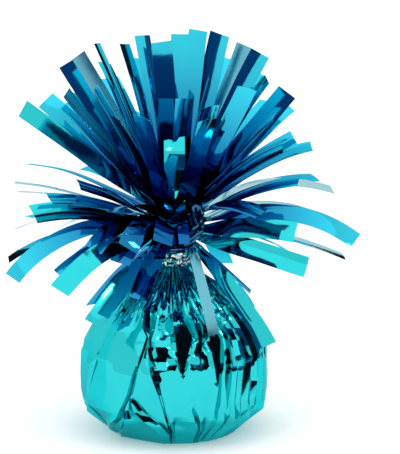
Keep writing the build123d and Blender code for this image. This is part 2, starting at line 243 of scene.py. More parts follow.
# Creases from left to right. Each is a line of points from foot to neck: height, bearing and how far it
# stands out of the round form.
FRONT_CREASES = (
    # The left edge and the broad smooth panel beside it.
    ((0, 181, 0.2), (10.5, 180, 0.5), (20, 181, 0.7), (30, 184, 0.3), (44, 188, 0.3), (58, 194, 0.1)),
    ((0, 186, -0.4), (10.5, 186, -0.2), (22, 187.5, -0.8), (33, 188.5, -0.9), (44, 195, -1.0),
     (58, 203, -0.2)),
    ((0, 190, 0.3), (10.5, 191, 0.6), (22, 193, 0.7), (33, 196, 0.4), (44, 204, 0.5), (58, 211, 0.2)),
    # A thin fold that leans down the left side.
    ((0, 193, 0.2), (5, 198, 0.3), (14, 201, 0.3), (20, 204, 0.4), (28, 210, 0.4), (34, 213, 0.3),
     (44, 212, 0.3), (58, 215, 0.1)),
    ((0, 194, 0.2), (5, 199, 0.3), (14, 202, 0.2), (20, 205.6, -0.5), (28, 211.8, -1.1), (34, 214.4, 0.1),
     (44, 213.4, 0.2), (58, 216, 0.1)),
    ((0, 196, 0.2), (5, 206, 0.3), (12, 219, 0.3), (20, 226, 0.2), (30, 225, 0.2), (38, 225, 0.3),
     (44, 222, 0.3), (58, 220, 0.1)),
    # The edge of the film's overlap, which runs down to the left, and the film under it.
    ((0, 199, 0.3), (3.9, 213.6, 0.9), (5.7, 221.3, 1.0), (8.7, 230.2, 1.1), (10.3, 233.8, 1.1),
     (19, 241.7, 1.0), (25, 244.7, 1.0), (32, 247.8, 0.9), (38.4, 250, 0.6), (41, 244.6, 0.6),
     (45, 240.7, 0.6), (52, 238, 0.3), (58, 236, 0.2)),
    ((0, 200.2, -0.5), (3.9, 214.6, -0.8), (5.7, 222.1, -0.9), (8.7, 230.9, -1.0), (10.3, 234.5, -1.2),
     (19, 242.3, -1.4), (25, 245.3, -1.4), (32, 248.4, -1.0), (38.4, 250.4, -0.5), (41, 245.2, -0.4),
     (45, 241.5, -0.4), (52, 239, -0.2), (58, 237.2, 0)),
    # A short fold low down beside the overlap, and its dip.
    ((0, 214, 0.6), (4, 228, 1.0), (8, 237, 1.5), (10.5, 239, 1.0), (13.8, 238.6, -0.8),
     (17.7, 241.7, -1.0), (19, 242.5, -1.2), (25, 245.5, -1.2), (32, 248.6, -0.9), (38.4, 250.6, -0.5),
     (41, 245.4, -0.4), (45, 241.8, -0.4), (52, 239.4, -0.2), (58, 237.8, 0)),
    ((0, 219, -0.3), (4, 234, -0.5), (8, 241.5, -0.6), (10.5, 242.5, -0.7), (13.8, 240.8, -1.0),
     (17.7, 242, -0.9), (19, 242.7, -1.0), (25, 245.7, -1.0), (32, 248.8, -0.8), (38.4, 250.8, -0.5),
     (41, 245.6, -0.4), (45, 242, -0.4), (52, 239.7, -0.2), (58, 238.2, 0)),
    # A longer one that runs down to the right, to the middle of the foot, and its dip.
    ((0, 262, 0.4), (4.3, 261.5, 1.3), (9, 255.5, 1.8), (13.8, 246.8, 1.5), (17.7, 242.6, -0.4),
     (19, 243, -0.8), (25, 246, -0.8), (32, 249.1, -0.7), (38.4, 251, -0.5), (41, 245.9, -0.4),
     (45, 242.3, -0.4), (52, 240.1, -0.2), (58, 238.8, 0)),
    ((0, 265.5, -0.4), (4.3, 266.8, -0.8), (9, 262, -0.8), (13.8, 251.5, -1.0), (18.5, 244, -0.7),
     (25, 246.4, -0.6), (32, 249.5, -0.5), (38.4, 251.3, -0.5), (41, 246.3, -0.4), (45, 242.8, -0.4),
     (52, 240.8, -0.2), (58, 239.6, 0)),
    # A puffed panel high on the shoulder.
    ((0, 266, 0), (4.3, 267.3, -0.2), (9, 262.8, -0.5), (13.8, 252.6, -0.8), (18.5, 245, -0.6),
     (25, 247, -0.5), (32, 249.9, -0.4), (38.4, 251.6, -0.2), (41, 247.2, 1.0), (46, 244.6, 2.9),
     (48.5, 243.6, 0.7), (52, 242.2, 0.1), (58, 241, 0.1)),
    ((0, 266.5, 0.1), (4.3, 267.8, 0.2), (9, 263.4, 0), (13.8, 253.6, -0.5), (18.5, 246.2, -0.5),
     (25, 248, -0.4), (32, 250.6, -0.3), (38.4, 252, -0.1), (41, 252, 0.6), (46, 250, 2.2),
     (48.5, 247.5, 0.4), (52, 245, 0.1), (58, 243, 0.1)),
    # The dark slit beside the overlap.
    ((0, 267.5, 0.3), (5.3, 268.6, 0.8), (20, 261.2, 0.8), (24.3, 258.2, 0.7), (31, 254.2, 0.6),
     (37.2, 252.5, 0.2), (41, 253.2, -0.2), (45, 252.4, -0.5), (52, 247.5, -0.3), (58, 245, 0)),
    ((0, 268, 0.1), (5.3, 269, 0.4), (20, 261.7, 0.2), (24.3, 259, -0.9), (29, 256.2, -1.6),
     (34, 253.8, 0), (37.2, 253, 0.3), (41, 254, -0.4), (45, 253.4, -0.6), (52, 249, -0.3),
     (58, 247, -0.1)),
    ((0, 268.5, 0.1), (5.3, 269.4, 0.4), (20, 262.6, 0.2), (24.3, 261.4, -0.9), (29, 259.2, -1.6),
     (34, 255.2, 0), (37.2, 253.6, 0.3), (41, 254.8, -0.4), (45, 254.6, -0.6), (52, 250.6, -0.3),
     (58, 249, -0.2)),
    ((0, 269, 0.4), (5.3, 269.8, 0.9), (20, 263.4, 0.9), (24.3, 262.4, 0.8), (29, 260.2, 0.4),
     (34, 256, 0.2), (37.2, 254.4, 0.2), (41, 255.6, 0), (45, 255.8, 0.2), (52, 252.2, 0.1),
     (58, 251, 0.1)),
    # A puffed panel beside the slit.
    ((0, 269.6, 0.2), (5.3, 270.3, 0.4), (20, 264.2, 0.4), (25, 264, 0.4), (28.4, 261.8, 0.4),
     (31, 260.8, 0), (35.6, 258.4, 1.3), (37.6, 257.6, 0.3), (43, 257.4, 0), (45, 257.4, -0.4),
     (52, 254.6, -0.2), (58, 253.5, 0)),
    ((0, 270.2, 0.2), (5.3, 270.9, 0.3), (20, 266, 0.3), (25, 264.9, 0.3), (28.4, 265.6, 0.3),
     (31, 266, -0.1), (35.6, 264.8, 1.1), (37.6, 263, 0.3), (43, 261, 1.4), (45, 260.5, -0.2),
     (52, 257.6, 0), (58, 256, 0.1)),
    ((0, 271, 0), (5.3, 271.6, 0), (20, 270.6, 0.2), (26, 274.8, 0.1), (28.4, 273.6, 0.15),
     (31.2, 271.6, 0.15), (33, 270.2, -0.2), (34.6, 269.2, -0.9), (38, 268.2, -1.6), (44, 265.6, -1.0),
     (50, 263, -0.5), (58, 260, -0.2)),
    # The big dark flame: a flat puffed panel with a pointed lower end.
    ((0, 287, 0.3), (6, 285.4, 0.7), (20, 277, 0.3), (26, 275.7, 0), (28.4, 274.6, -0.6),
     (31.2, 272.8, 0), (38.1, 271.6, 1.6), (43.4, 270, 3.0), (46, 269.6, 0.6), (50, 267.5, 0.2),
     (58, 264, 0.2)),
    ((0, 287.6, 0.3), (6, 286, 0.7), (20, 277.5, 0.3), (26, 276, 0), (28.4, 277, -0.6), (31.2, 278.5, 0),
     (33.6, 279.8, 0.7), (38.6, 283.4, 1.8), (43, 279.2, 2.9), (46, 276, 0.6), (50, 273, 0.2),
     (58, 268, 0.2)),
    ((0, 288.6, -0.2), (6, 287.4, -0.4), (13, 283.4, -0.2), (20, 279.4, 0.2), (26, 277, 0.1),
     (28.4, 278.2, 0.15), (31.2, 280, 0.1), (33, 281.8, -0.9), (38.6, 285.2, -1.6), (44, 281.6, -1.0),
     (50, 276.5, -0.5), (58, 271.5, -0.2)),
    # A narrow dark stripe, whose crease goes on down to the foot.
    ((0, 289.4, 0.4), (6.4, 288.6, 0.8), (13, 285, 0.5), (20, 282.5, 0.4), (27, 286.6, 0),
     (32, 287, -0.2), (39, 287.6, 1.4), (43, 286, 2.3), (46, 284.6, 0.5), (50, 280.5, 0.2),
     (58, 274.5, 0.2)),
    ((0, 290, 0.3), (6.4, 289.2, 0.7), (13, 285.8, 0.4), (20, 283.4, 0.3), (27, 287.2, 0),
     (32, 288.6, -0.2), (39, 290.4, 1.7), (43, 290, 2.6), (46, 287.6, 0.5), (50, 284, 0.2),
     (58, 277, 0.2)),
    ((0, 290.6, -0.2), (6.4, 290.6, -0.4), (13, 290.4, -0.3), (20, 291, 0.1), (26, 292, 0),
     (33, 292, 0.1), (35, 292.2, -0.9), (39, 293, -1.6), (44, 293, -1.0), (50, 288, -0.4),
     (58, 280, -0.2)),
    # The second flame.
    ((0, 291, 0.4), (6.4, 292, 0.8), (13, 294, 0.5), (22, 297.4, 0), (28.4, 296.4, -0.9),
     (31.8, 296, -0.3), (37.5, 296, 0.9), (41.3, 296.2, 1.5), (44, 295.4, 0.3), (50, 291, 0.1),
     (58, 283, 0.2)),
    ((0, 292, 0.4), (6.4, 293, 0.8), (13, 295, 0.5), (22, 298.2, 0.1), (28.4, 299.4, -0.4),
     (31.8, 300.8, 0.4), (37, 303, 1.9), (40.8, 301, 2.4), (44, 299, 0.3), (50, 294.5, 0.1),
     (58, 286, 0.2)),
    ((0, 297, -0.6), (6.5, 298.6, -0.8), (16, 299, -0.7), (26, 300.4, -0.9), (37, 305, -1.0),
     (44, 302.4, -0.7), (50, 298, -0.4), (58, 289, -0.2)),
    # Long upright folds round the right side.
    ((0, 300, 0.5), (6.5, 302.6, 0.9), (16, 301, 0.9), (27, 302.2, 0.6), (37, 307, 0.6), (44, 305.6, 0.4),
     (58, 292, 0.2)),
    ((0, 300.8, -0.2), (6.5, 303.6, -0.3), (16, 302.2, -0.2), (27, 303.2, -1.6), (34, 306.5, -0.2),
     (37, 308, -0.4), (44, 307, -0.5), (58, 295, -0.2)),
    ((0, 302, -0.2), (6.5, 305, -0.3), (16, 304.2, -0.2), (27, 305, -1.6), (34, 308, -0.2),
     (37, 309.6, -0.4), (44, 308.6, -0.5), (58, 298, -0.2)),
    ((0, 303, 0.5), (6.5, 306.4, 0.8), (16, 305.4, 0.9), (27, 306.4, 0.7), (37, 311, 0.6),
     (44, 310.4, 0.4), (58, 301, 0.2)),
    ((0, 305, -0.3), (6.7, 308.6, -0.42), (15, 307, -0.42), (27, 308.8, -0.42), (36, 313.4, -0.6),
     (44, 313, -0.36), (58, 304, -0.12)),
    ((0, 307.5, 0.24), (6.7, 310.8, 0.48), (15, 309, 0.54), (27, 311.2, 0.54), (36, 316, 0.36),
     (44, 315.6, 0.24), (58, 307, 0.12)),
    ((0, 310.5, -0.3), (6.7, 313.6, -0.42), (15, 311.4, -0.42), (27, 314, -0.42), (36, 318.8, -0.6),
     (44, 318.6, -0.36), (58, 310, -0.12)),
    ((0, 313, 0.24), (6.7, 316, 0.48), (15, 313.4, 0.54), (27, 316.6, 0.54), (36, 321.4, 0.36),
     (44, 321.4, 0.24), (58, 313, 0.12)),
    ((0, 317, -0.3), (6, 319.4, -0.42), (15, 316, -0.42), (26, 320, -0.92), (34, 324, -0.6),
     (44, 324.6, -0.36), (58, 317, -0.12)),
    ((0, 321, 0.24), (6, 323.6, 0.48), (15, 320.4, 0.6), (26, 323.4, 0.6), (34, 327, 0.36),
     (44, 328, 0.24), (58, 321, 0.12)),
    ((0, 325, -0.3), (6, 327, -0.36), (15, 325, -0.54), (21, 328, -0.96), (27, 327.6, -1.24),
     (36, 331, -0.54), (44, 331.6, -0.36), (58, 326, -0.12)),
    ((0, 329, 0.18), (6, 330.6, 0.36), (15, 328.6, 0.48), (21, 331.4, 0.48), (28, 330.6, 0.48),
     (36, 335, 0.3), (44, 335.6, 0.24), (58, 331, 0.12)),
    ((0, 333, -0.3), (6, 334.6, -0.3), (15, 332.4, -0.42), (21, 335, -0.42), (28, 335, -0.42),
     (36, 339, -0.48), (44, 340, -0.36), (58, 336, -0.12)),
    ((0, 338, 0.18), (12, 338, 0.24), (21, 341.4, 0.24), (28, 340.6, 0.24), (36, 343.4, 0.24),
     (44, 344, 0.24), (58, 341, 0.12)),
    ((0, 344, -0.24), (12, 344, -0.24), (21, 346, -0.24), (36, 348, -0.42), (44, 348.4, -0.3),
     (58, 346, -0.12)),
    ((0, 350, 0.12), (12, 350, 0.06), (21, 351, 0.06), (36, 352.6, 0.18), (44, 352.6, 0.24),
     (58, 351, 0.12)),
)
print("front creases:", len(FRONT_CREASES))

# %% [markdown]
# ### From creases to a sheet
# The back repeats the front's creases, turned half round and shallower, as nothing tells how it really lies.
# The wrap is then a grid of points. At each level every crease gives a corner, and the points between two
# corners lie on the straight line across, let out a little so that the panel bulges. The gathers at the neck
# are too many to place by hand, so a zigzag adds them, and no dent goes deeper than the tub inside.

# %% Creases all round
BACK_DEPTH = (0.6, 1.0)
# Each crease meets the bends at the rim and above the foot at a height of its own, so they zigzag. Creases
# that stand far out keep the heights they are given.
CREASE_LIFT = 2.2
LIFT_TURN = 2.4
FAR_OUT = 1.25


def between(value, places, amounts, smooth=False):
    """Amount at `value` on the line through the given places, held level past both ends."""
    if value <= places[0]:
        return amounts[0]
    for i in range(1, len(places)):
        if value <= places[i]:
            share = (value - places[i - 1]) / (places[i] - places[i - 1])
            if smooth:
                share = share * share * (3 - 2 * share)
            return amounts[i - 1] + (amounts[i] - amounts[i - 1]) * share
    return amounts[-1]


def crease_at(crease, height):
    """Bearing and stand-off of a crease at one height."""
    heights, bearings, stands = zip(*crease)
    return between(height, heights, bearings), between(height, heights, stands)


crease_chance = random.Random(11)
creases = list(FRONT_CREASES)
for crease in FRONT_CREASES:
    share = crease_chance.uniform(*BACK_DEPTH)
    creases.append([(height, bearing + 180, stand * share) for height, bearing, stand in crease])
lifts = []
for index, crease in enumerate(creases):
    far_out = max(stand for height, bearing, stand in crease) > FAR_OUT
    lifts.append(0.0 if far_out else CREASE_LIFT * sin(LIFT_TURN * index))
print("creases:", len(creases), "of them lifted:", sum(lift != 0 for lift in lifts))

# %% Room for the tub
TUB_FOOT_RADIUS = 19.6
TUB_TOE = (6.4, 26.7)
TUB_SIDE_RADIUS = 29.4
TUB_RIM_RADIUS = 30.2
TUB_SIDE_HEIGHT = 13.0
TUB_HEIGHT = 29.0
WRAP_SLACK = 0.35


def curve_through(value, table):
    """Smooth curve through rows of (place, amount), with a slope at each row taken from its neighbours."""
    last = len(table) - 1
    i = max(j for j in range(last) if value >= table[j][0] or j == 0)
    (x0, y0), (x1, y1) = table[i], table[i + 1]
    before, after = table[max(i - 1, 0)], table[min(i + 2, last)]
    span = x1 - x0
    slope0 = (y1 - before[1]) / (x1 - before[0]) * span
    slope1 = (after[1] - y0) / (after[0] - x0) * span
    t = min(1.0, max(0.0, (value - x0) / span))
    return (
        y0 * (2 * t**3 - 3 * t**2 + 1) + y1 * (3 * t**2 - 2 * t**3)
        + slope0 * (t**3 - 2 * t**2 + t) + slope1 * (t**3 - t**2)
    )


def tub_reach(height):
    """Radius of the tub inside, which the film can't go below."""
    if height >= TUB_HEIGHT:
        return 0.0
    if height >= TUB_SIDE_HEIGHT:
        share = (height - TUB_SIDE_HEIGHT) / (TUB_HEIGHT - TUB_SIDE_HEIGHT)
        return TUB_SIDE_RADIUS + share * (TUB_RIM_RADIUS - TUB_SIDE_RADIUS)
    return curve_through(height, ((0.0, TUB_FOOT_RADIUS), TUB_TOE, (TUB_SIDE_HEIGHT, TUB_SIDE_RADIUS)))


print("the film stays outside", [round(tub_reach(height) + WRAP_SLACK, 1) for height in (0, 10, 20)], "mm")

# %% One level of the wrap
COLUMN_DEGREES = 1.2
WIDTH_LEVELS = (0, 10, 20, 30, 40, 50)
# How much a panel bulges, from 0, a flat one, to 1, a round one.
ROUNDNESS = 0.3
# Heights over which the creases' lifts come in and go out.
LIFT_HEIGHTS = (0.0, 8.0, 36.0, 46.0)
LIFT_SHARES = (0.0, 1.0, 1.0, 0.0)
# Fine gathers run down from the neck and fade out on the shoulder. They wander a few degrees.
GATHERS = 58
GATHER_DEPTH = 0.55
GATHER_WANDER = 3
GATHER_HEIGHTS = (40.0, 52.0, 58.0)
GATHER_SHARES = (0.0, 1.0, 0.6)

panel_columns = []
for crease, beside in zip(creases, creases[1:] + creases[:1]):
    widths = [(crease_at(beside, height)[0] - crease_at(crease, height)[0]) % 360 for height in WIDTH_LEVELS]
    panel_columns.append(max(2, round(max(widths) / COLUMN_DEGREES)))


def wrap_row(height):
    """Points of the wrap round one level."""
    corners = []
    lifted = between(height, LIFT_HEIGHTS, LIFT_SHARES)
    for crease, lift in zip(creases, lifts):
        bearing, stand = crease_at(crease, height)
        form = between(height + lift * lifted, *zip(*WRAP_FORM))
        corners.append((bearing, form + stand))
    corners.append((corners[0][0] + 360, corners[0][1]))
    gathered = between(height, GATHER_HEIGHTS, GATHER_SHARES)
    points = []
    for columns, (bearing0, reach0), (bearing1, reach1) in zip(panel_columns, corners, corners[1:]):
        turn = radians(bearing1 - bearing0)
        for column in range(columns):
            share = column / columns
            bearing = bearing0 + (bearing1 - bearing0) * share
            even = reach0 + (reach1 - reach0) * share
            chord = reach0 * reach1 * sin(turn) / (
                reach0 * sin(turn * share) + reach1 * sin(turn * (1 - share)))
            reach = chord + (even - chord) * ROUNDNESS
            wander = bearing + GATHER_WANDER * sin(radians(5 * bearing))
            gather = abs((GATHERS * wander / 360) % 1 - 0.5) * 2 - 0.5
            reach += GATHER_DEPTH * gathered * gather
            reach = max(reach, tub_reach(height) + WRAP_SLACK)
            angle = radians(bearing)
            points.append((reach * cos(angle), reach * sin(angle), height))
    return points


print("points round each level:", sum(panel_columns))

# %% Foil wrap
FILM = 0.10
NECK_TOP = 65.3
FIRST_ROW = 0.3
ROW_STEP = 0.6
# Rings of points under the foot, as shares of its radius, and how far the film stays off the table.
FOOT_RINGS = (0.25, 0.55, 0.85)
TABLE_GAP = 0.01

rows = [0.0, FIRST_ROW]
while rows[-1] + ROW_STEP < NECK_TOP:
    rows.append(rows[-1] + ROW_STEP)
rows.append(NECK_TOP)
round_count = sum(panel_columns)
wrap_points = [(0.0, 0.0, FILM)]
for share in FOOT_RINGS:
    wrap_points += [(x * share, y * share, FILM) for x, y, z in wrap_row(0.0)]
for height in rows:
    wrap_points += wrap_row(height)
wrap_points = [(x, y, max(z, FILM / 2 + TABLE_GAP)) for x, y, z in wrap_points]
wrap_faces = [(0, 1 + (i + 1) % round_count, 1 + i) for i in range(round_count)]
wrap_faces += grid_faces(len(FOOT_RINGS) + len(rows), round_count, 1, closed=True)
foil_wrap = new_piece("foil_wrap_film", wrap_points, wrap_faces, [wrap_film, silver_film], crease=14)
thicken(foil_wrap, FILM)
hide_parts("foil_wrap")
print("foil wrap:", len(wrap_points), "points in", len(rows), "levels")

# %% [markdown]
# ## Fringe
# Each sheet of the fringe is slit into strips and rolled round the stem by its uncut edge. A strip leaves the
# roll folded lengthwise like a paper fan, opens out flat in the first seventh of its length and ends in a
# square cut. It could be simulated, but then no strip would lie where it does in the picture. So every strip
# is a bent strip of its own. The rows below start from the solids' rows. Some strips are turned, bent or cut
# otherwise than there, and short ones are added, so that they lie as they do in the picture.

# %% Strip rows
# Each sheet has its level above the lowest one, the radius of its roll and its strips. A strip's row gives
# its bearing from +X, rise at the root, sag along the length, turn of the face and length, and where it needs
# it how far the root sits back along the roll, in degrees.
FRINGE = {
    "skirt_fringe": (0, 6.0, (
        (338, -40, 20, 27, 45), (206, -36, 18, -35, 37, -24), (4, -38, 8, 5, 28), (55, -30, 28, 10, 42),
        (90, -26, 34, 0, 44), (125, -30, 28, -10, 42), (160, -34, 22, 10, 36), (29, -34, 24, 10, 36),
    )),
    "lower_fringe": (1, 6.0, (
        (330, -4, 8, 58, 46), (224, 8, 48, -38, 49), (178, 12, 46, -12, 54), (166, 0, 20, 8, 53),
        (10, 6, 34, 10, 56), (240, -40, 12, -8, 26), (40, 2, 36, 10, 50), (70, -2, 44, -10, 52),
        (102, -4, 40, 10, 52), (136, 0, 42, 10, 52), (208, 4, 40, -20, 40),
    )),
    "side_fringe": (2, 5.8, (
        (4, 30, 58, 14, 50), (352, 26, 60, 40, 60), (18, 28, 58, 12, 52), (334, 6, 8, 58, 40),
        (207, 24, 28, -52, 48), (199, 18, 70, -34, 57), (256, 10, 64, 14, 21), (157, 16, 34, 12, 52),
        (48, 12, 44, -10, 56), (80, 8, 50, 15, 56), (112, 10, 46, 0, 56), (140, 12, 44, -15, 56),
        (230, 8, 60, -24, 25), (172, 20, 46, 8, 52),
    )),
    "middle_fringe": (3, 5.5, (
        (272, 45, -85, -12, 32), (234, 44, 60, 10, 30), (254, 54, 3, -20, 50), (288, 52, 4, 15, 50),
        (6, 48, 36, 20, 50), (217, 22, 14, -25, 47), (171, 19, 12, 5, 52), (28, 26, 30, 15, 53),
        (208, 32, 12, -25, 34, 4), (58, 28, 30, -10, 58), (92, 26, 34, 10, 58), (122, 25, 30, -15, 58),
        (150, 28, 25, 10, 56), (334, 32, 20, 25, 45), (10, 40, 62, 14, 54), (190, 24, 22, 5, 50),
    )),
    "upper_fringe": (4, 5.1, (
        (190, 55, 4, -30, 53, -5), (214, 46, 3, -30, 51), (182, 40, 3, -50, 59, 4), (164, 44, 4, -55, 56),
        (314, 58, 4, -25, 55, 4), (342, 46, 20, 35, 42), (30, 45, 12, 25, 54), (48, 44, 15, 15, 57),
        (78, 43, 18, -10, 57), (108, 40, 20, 10, 58), (140, 44, 15, -15, 57), (322, 48, 8, 30, 52, -4),
        (151, 55, 8, -20, 52), (12, 38, 10, 45, 45), (64, 54, 10, 12, 57), (93, 53, 12, 10, 58),
        (124, 54, 10, -10, 57),
    )),
    "inner_fringe": (5, 4.6, (
        (30, 68, 4, 25, 59), (7, 66, 4, 62, 58), (342, 59, 4, 35, 53), (4, 49, 2, 70, 52, 11),
        (34, 56, 5, 20, 54, -8), (158, 68, 3, 8, 60), (182, 64, 4, -40, 59), (162, 57, 4, -65, 59, -8),
        (72, 60, 6, -5, 56), (90, 62, 6, 5, 56), (112, 60, 8, 10, 57), (139, 62, 6, 10, 55),
        (54, 62, 6, 10, 56),
    )),
    "crown_fringe": (6, 4.0, (
        (124, 76, 4, 10, 57), (106, 80, 5, -5, 54), (84, 72, 3, 0, 58), (58, 80, 4, 5, 58),
        (40, 74, 2, 34, 58), (144, 74, 4, 10, 55),
    )),
}
# Short strips in front of the roll and the hook, which the solids leave out.
SHORT_STRIPS = {
    "middle_fringe": (
        (262, 30, 84, -34, 22), (276, 16, 70, 26, 17), (240, 22, 70, -44, 27), (220, 20, 66, -26, 32),
        (322, 40, 60, 20, 34),
    ),
    "upper_fringe": (
        (230, 60, 10, -20, 44), (296, 62, 6, 10, 46), (200, 66, 6, -30, 50), (340, 64, 6, 30, 50),
    ),
    "crown_fringe": (
        (200, 80, 5, -30, 44), (330, 80, 5, 30, 44), (252, 82, 4, -10, 36), (292, 82, 4, 10, 36),
    ),
}
# The finish of some strips, by sheet and place in its rows. Silver ones show their back.
SILVER_STRIPS = {"side_fringe": (0, 2, 13), "middle_fringe": (6, 14, 15), "lower_fringe": (3, 4)}
# Hazed ones are scuffed, and show one flat tone.
HAZED_STRIPS = {"inner_fringe": (0, 6), "upper_fringe": (0,)}
# Clear ones lie apart from the others, so no dark film shows in them: they take the wrap's film,
# without the painted hub shade.
CLEAR_STRIPS = {
    "skirt_fringe": (0, 1), "lower_fringe": (0, 1), "side_fringe": (3, 4), "middle_fringe": (0,),
    "upper_fringe": (2,),
}
strip_rows = {name: strips + SHORT_STRIPS.get(name, ()) for name, (level, radius, strips) in FRINGE.items()}
print("strips:", {name: len(strips) for name, strips in strip_rows.items()})

# %% One strip
BAND_HEIGHT = 2.3
BAND_PITCH = 2.5
LOWEST_BAND = NECK_TOP + 0.2 + BAND_HEIGHT / 2
STRIP_ROOT = 2.2
STRIP_SPREAD = 0.14
STRIP_SECTIONS = 36
STRIP_COLUMNS = 9
FAN_FOLDS = 4
FOLD_SHARE = 0.6
# A strip has turned to its full angle by this share of its length.
TURN_SHARE = 0.5
# What handling does to a strip, least and most: waves in degrees and their number, a bulge across and a slant
# of the cut end, both in millimetres.
RIPPLE = (1.5, 4.0)
RIPPLES = (0.8, 1.8)
CUPPING = (-0.45, 0.45)
SLANT = (-0.5, 0.5)


def strip_points(row, level, radius, width, chance):
    """Points of one strip, section by section from its root to its cut end."""
    bearing, rise, sag, turn, length = row[:5]
    setback = row[5] if len(row) > 5 else 0
    place = radians(bearing - setback)
    centre = Vector((radius * cos(place), radius * sin(place), LOWEST_BAND + level * BAND_PITCH))
    out = Vector((cos(radians(bearing)), sin(radians(bearing)), 0))
    side = Vector((-out.y, out.x, 0))
    ripple = chance.uniform(*RIPPLE)
    ripple_start = chance.uniform(0, 2 * pi)
    ripples = chance.uniform(*RIPPLES)
    cupping = chance.uniform(*CUPPING)
    slant = chance.uniform(*SLANT)
    points = []
    step = length / (STRIP_SECTIONS - 1)
    for section in range(STRIP_SECTIONS):
        share = section / (STRIP_SECTIONS - 1)
        slope = radians(rise - sag * share + ripple * share * sin(ripple_start + 2 * pi * ripples * share))
        along = out * cos(slope) + Vector((0, 0, sin(slope)))
        eased = min(1.0, share / TURN_SHARE)
        angle = radians(turn) * eased * eased * (3 - 2 * eased)
        across = side * cos(angle) + along.cross(side) * sin(angle)
        up = along.cross(across)
        spread = min(1.0, share / STRIP_SPREAD)
        breadth = STRIP_ROOT + (width - STRIP_ROOT) * spread * spread * (3 - 2 * spread)
        pleat = width / FAN_FOLDS
        depth = FOLD_SHARE * sqrt(max(0.0, pleat**2 - (breadth / FAN_FOLDS) ** 2)) / 2
        for column in range(STRIP_COLUMNS):
            u = 2 * column / (STRIP_COLUMNS - 1) - 1
            zigzag = abs((u + 1) * FAN_FOLDS / 2 % 2 - 1) * 2 - 1
            rise_off = zigzag * depth + cupping * (1 - u * u) * spread
            point = centre + across * (u * breadth / 2) + up * rise_off
            if section == STRIP_SECTIONS - 1:
                point = point + along * (slant * u)
            points.append(point)
        centre = centre + along * step
    return points


print("a strip has", STRIP_SECTIONS * STRIP_COLUMNS, "points")

# %% Rolled edge of a sheet
STEM_RADIUS = 2.0
STEM_GAP = 0.35
BAND_INSET = 0.3
BAND_PLEATS = 22
BAND_ROWS = 3


def band_points(level, radius):
    """The gathered uncut edge of a sheet: a narrow ruffle round the stem, with uneven pleats."""
    points = []
    for row in range(BAND_ROWS):
        height = LOWEST_BAND + level * BAND_PITCH + (row - 1) * BAND_HEIGHT / 2
        for corner in range(2 * BAND_PLEATS):
            reach = radius - BAND_INSET if corner % 2 else STEM_RADIUS + STEM_GAP
            angle = pi * (corner + 0.3 * sin(1.7 * corner)) / BAND_PLEATS
            points.append((reach * cos(angle), reach * sin(angle), height))
    return points


print("lowest roll at", round(LOWEST_BAND, 2), "mm")

# %% Fringe sheets
STRIP_WIDTH = 7.2
STRIP_FILM = 0.08
# A strip's faces look down, so its slot is the finish of its underside and the next slot that of its top.
FINISHES = (fringe_film, fringe_film, silver_film, wrap_film, wrap_film, fringe_film, dull_film)
PLAIN_SLOT = 0
SILVER_SLOT = 1
CLEAR_SLOT = 3
HAZED_SLOT = 5


def strip_slot(name, index):
    """Material slot of one strip of a sheet."""
    if index in CLEAR_STRIPS.get(name, ()):
        return CLEAR_SLOT
    if index in SILVER_STRIPS.get(name, ()):
        return SILVER_SLOT
    return HAZED_SLOT if index in HAZED_STRIPS.get(name, ()) else PLAIN_SLOT


film_chance = random.Random(23)
fringe_pieces = {}
for name, (level, radius, given_strips) in FRINGE.items():
    points = band_points(level, radius)
    faces = grid_faces(BAND_ROWS, 2 * BAND_PLEATS, 0, closed=True)
    slots = [PLAIN_SLOT] * len(faces)
    strips = strip_rows[name]
    for index, row in enumerate(strips):
        strip_faces = grid_faces(STRIP_SECTIONS, STRIP_COLUMNS, len(points))
        points += strip_points(row, level, radius, STRIP_WIDTH, film_chance)
        faces += strip_faces
        slots += [strip_slot(name, index)] * len(strip_faces)
    piece = new_piece(name + "_film", points, faces, FINISHES, slots)
    thicken(piece, STRIP_FILM)
    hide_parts(name)
    fringe_pieces[name] = piece
print("fringe:", {name: len(piece.data.polygons) for name, piece in fringe_pieces.items()})

# %% [markdown]
# ## Tape, tie and knot
# The neck is held by a turn of clear tape, crumpled as it was pulled tight, and above it by a scrap of film
# that is rolled to a cord, knotted in front and left with two ends: one twisted up tight and one flat. A
# rolled film has a cross-section of folds, so the cord, the knot and the twist are all tubes with a
# star-shaped section. The tape could be smooth with a bump, but its facets show, so its points are moved.

# %% Tape finish
TAPE_FACET = 1.6

# Polypropylene tape over the film's silver back: small silver facets with dark lines between them.
clear_tape, tree, output = new_material("polypropylene_tape_over_silver")
place = add_node(tree, "ShaderNodeTexCoord")
cells = add_node(tree, "ShaderNodeTexVoronoi", {"feature": "DISTANCE_TO_EDGE"}, {
    "Vector": place.outputs["Object"], "Scale": 1 / (TAPE_FACET * MM)})
bump = add_node(tree, "ShaderNodeBump", None, {
    "Height": cells.outputs["Distance"], "Strength": 0.6, "Distance": 0.4 * MM})
shader = add_node(tree, "ShaderNodeBsdfPrincipled", None, {
    "Base Color": paint("#C9D8D6"), "Metallic": 1.0, "Roughness": 0.16, "Normal": bump.outputs["Normal"],
    "Coat Weight": 0.8, "Coat Roughness": 0.08})
tree.links.new(shader.outputs["BSDF"], output.inputs["Surface"])
print("tape finish:", clear_tape.name)

# %% Tape
NECK_HEIGHT = 58.5
TAPE_BOTTOM = NECK_HEIGHT + 0.4
TAPE_LENGTH = 4.4
TAPE_RADIUS = 5.95
TAPE_COLUMNS = 44
TAPE_ROWS = 8
TAPE_CRUMPLE = 0.32
TAPE_SHIFT = 0.15

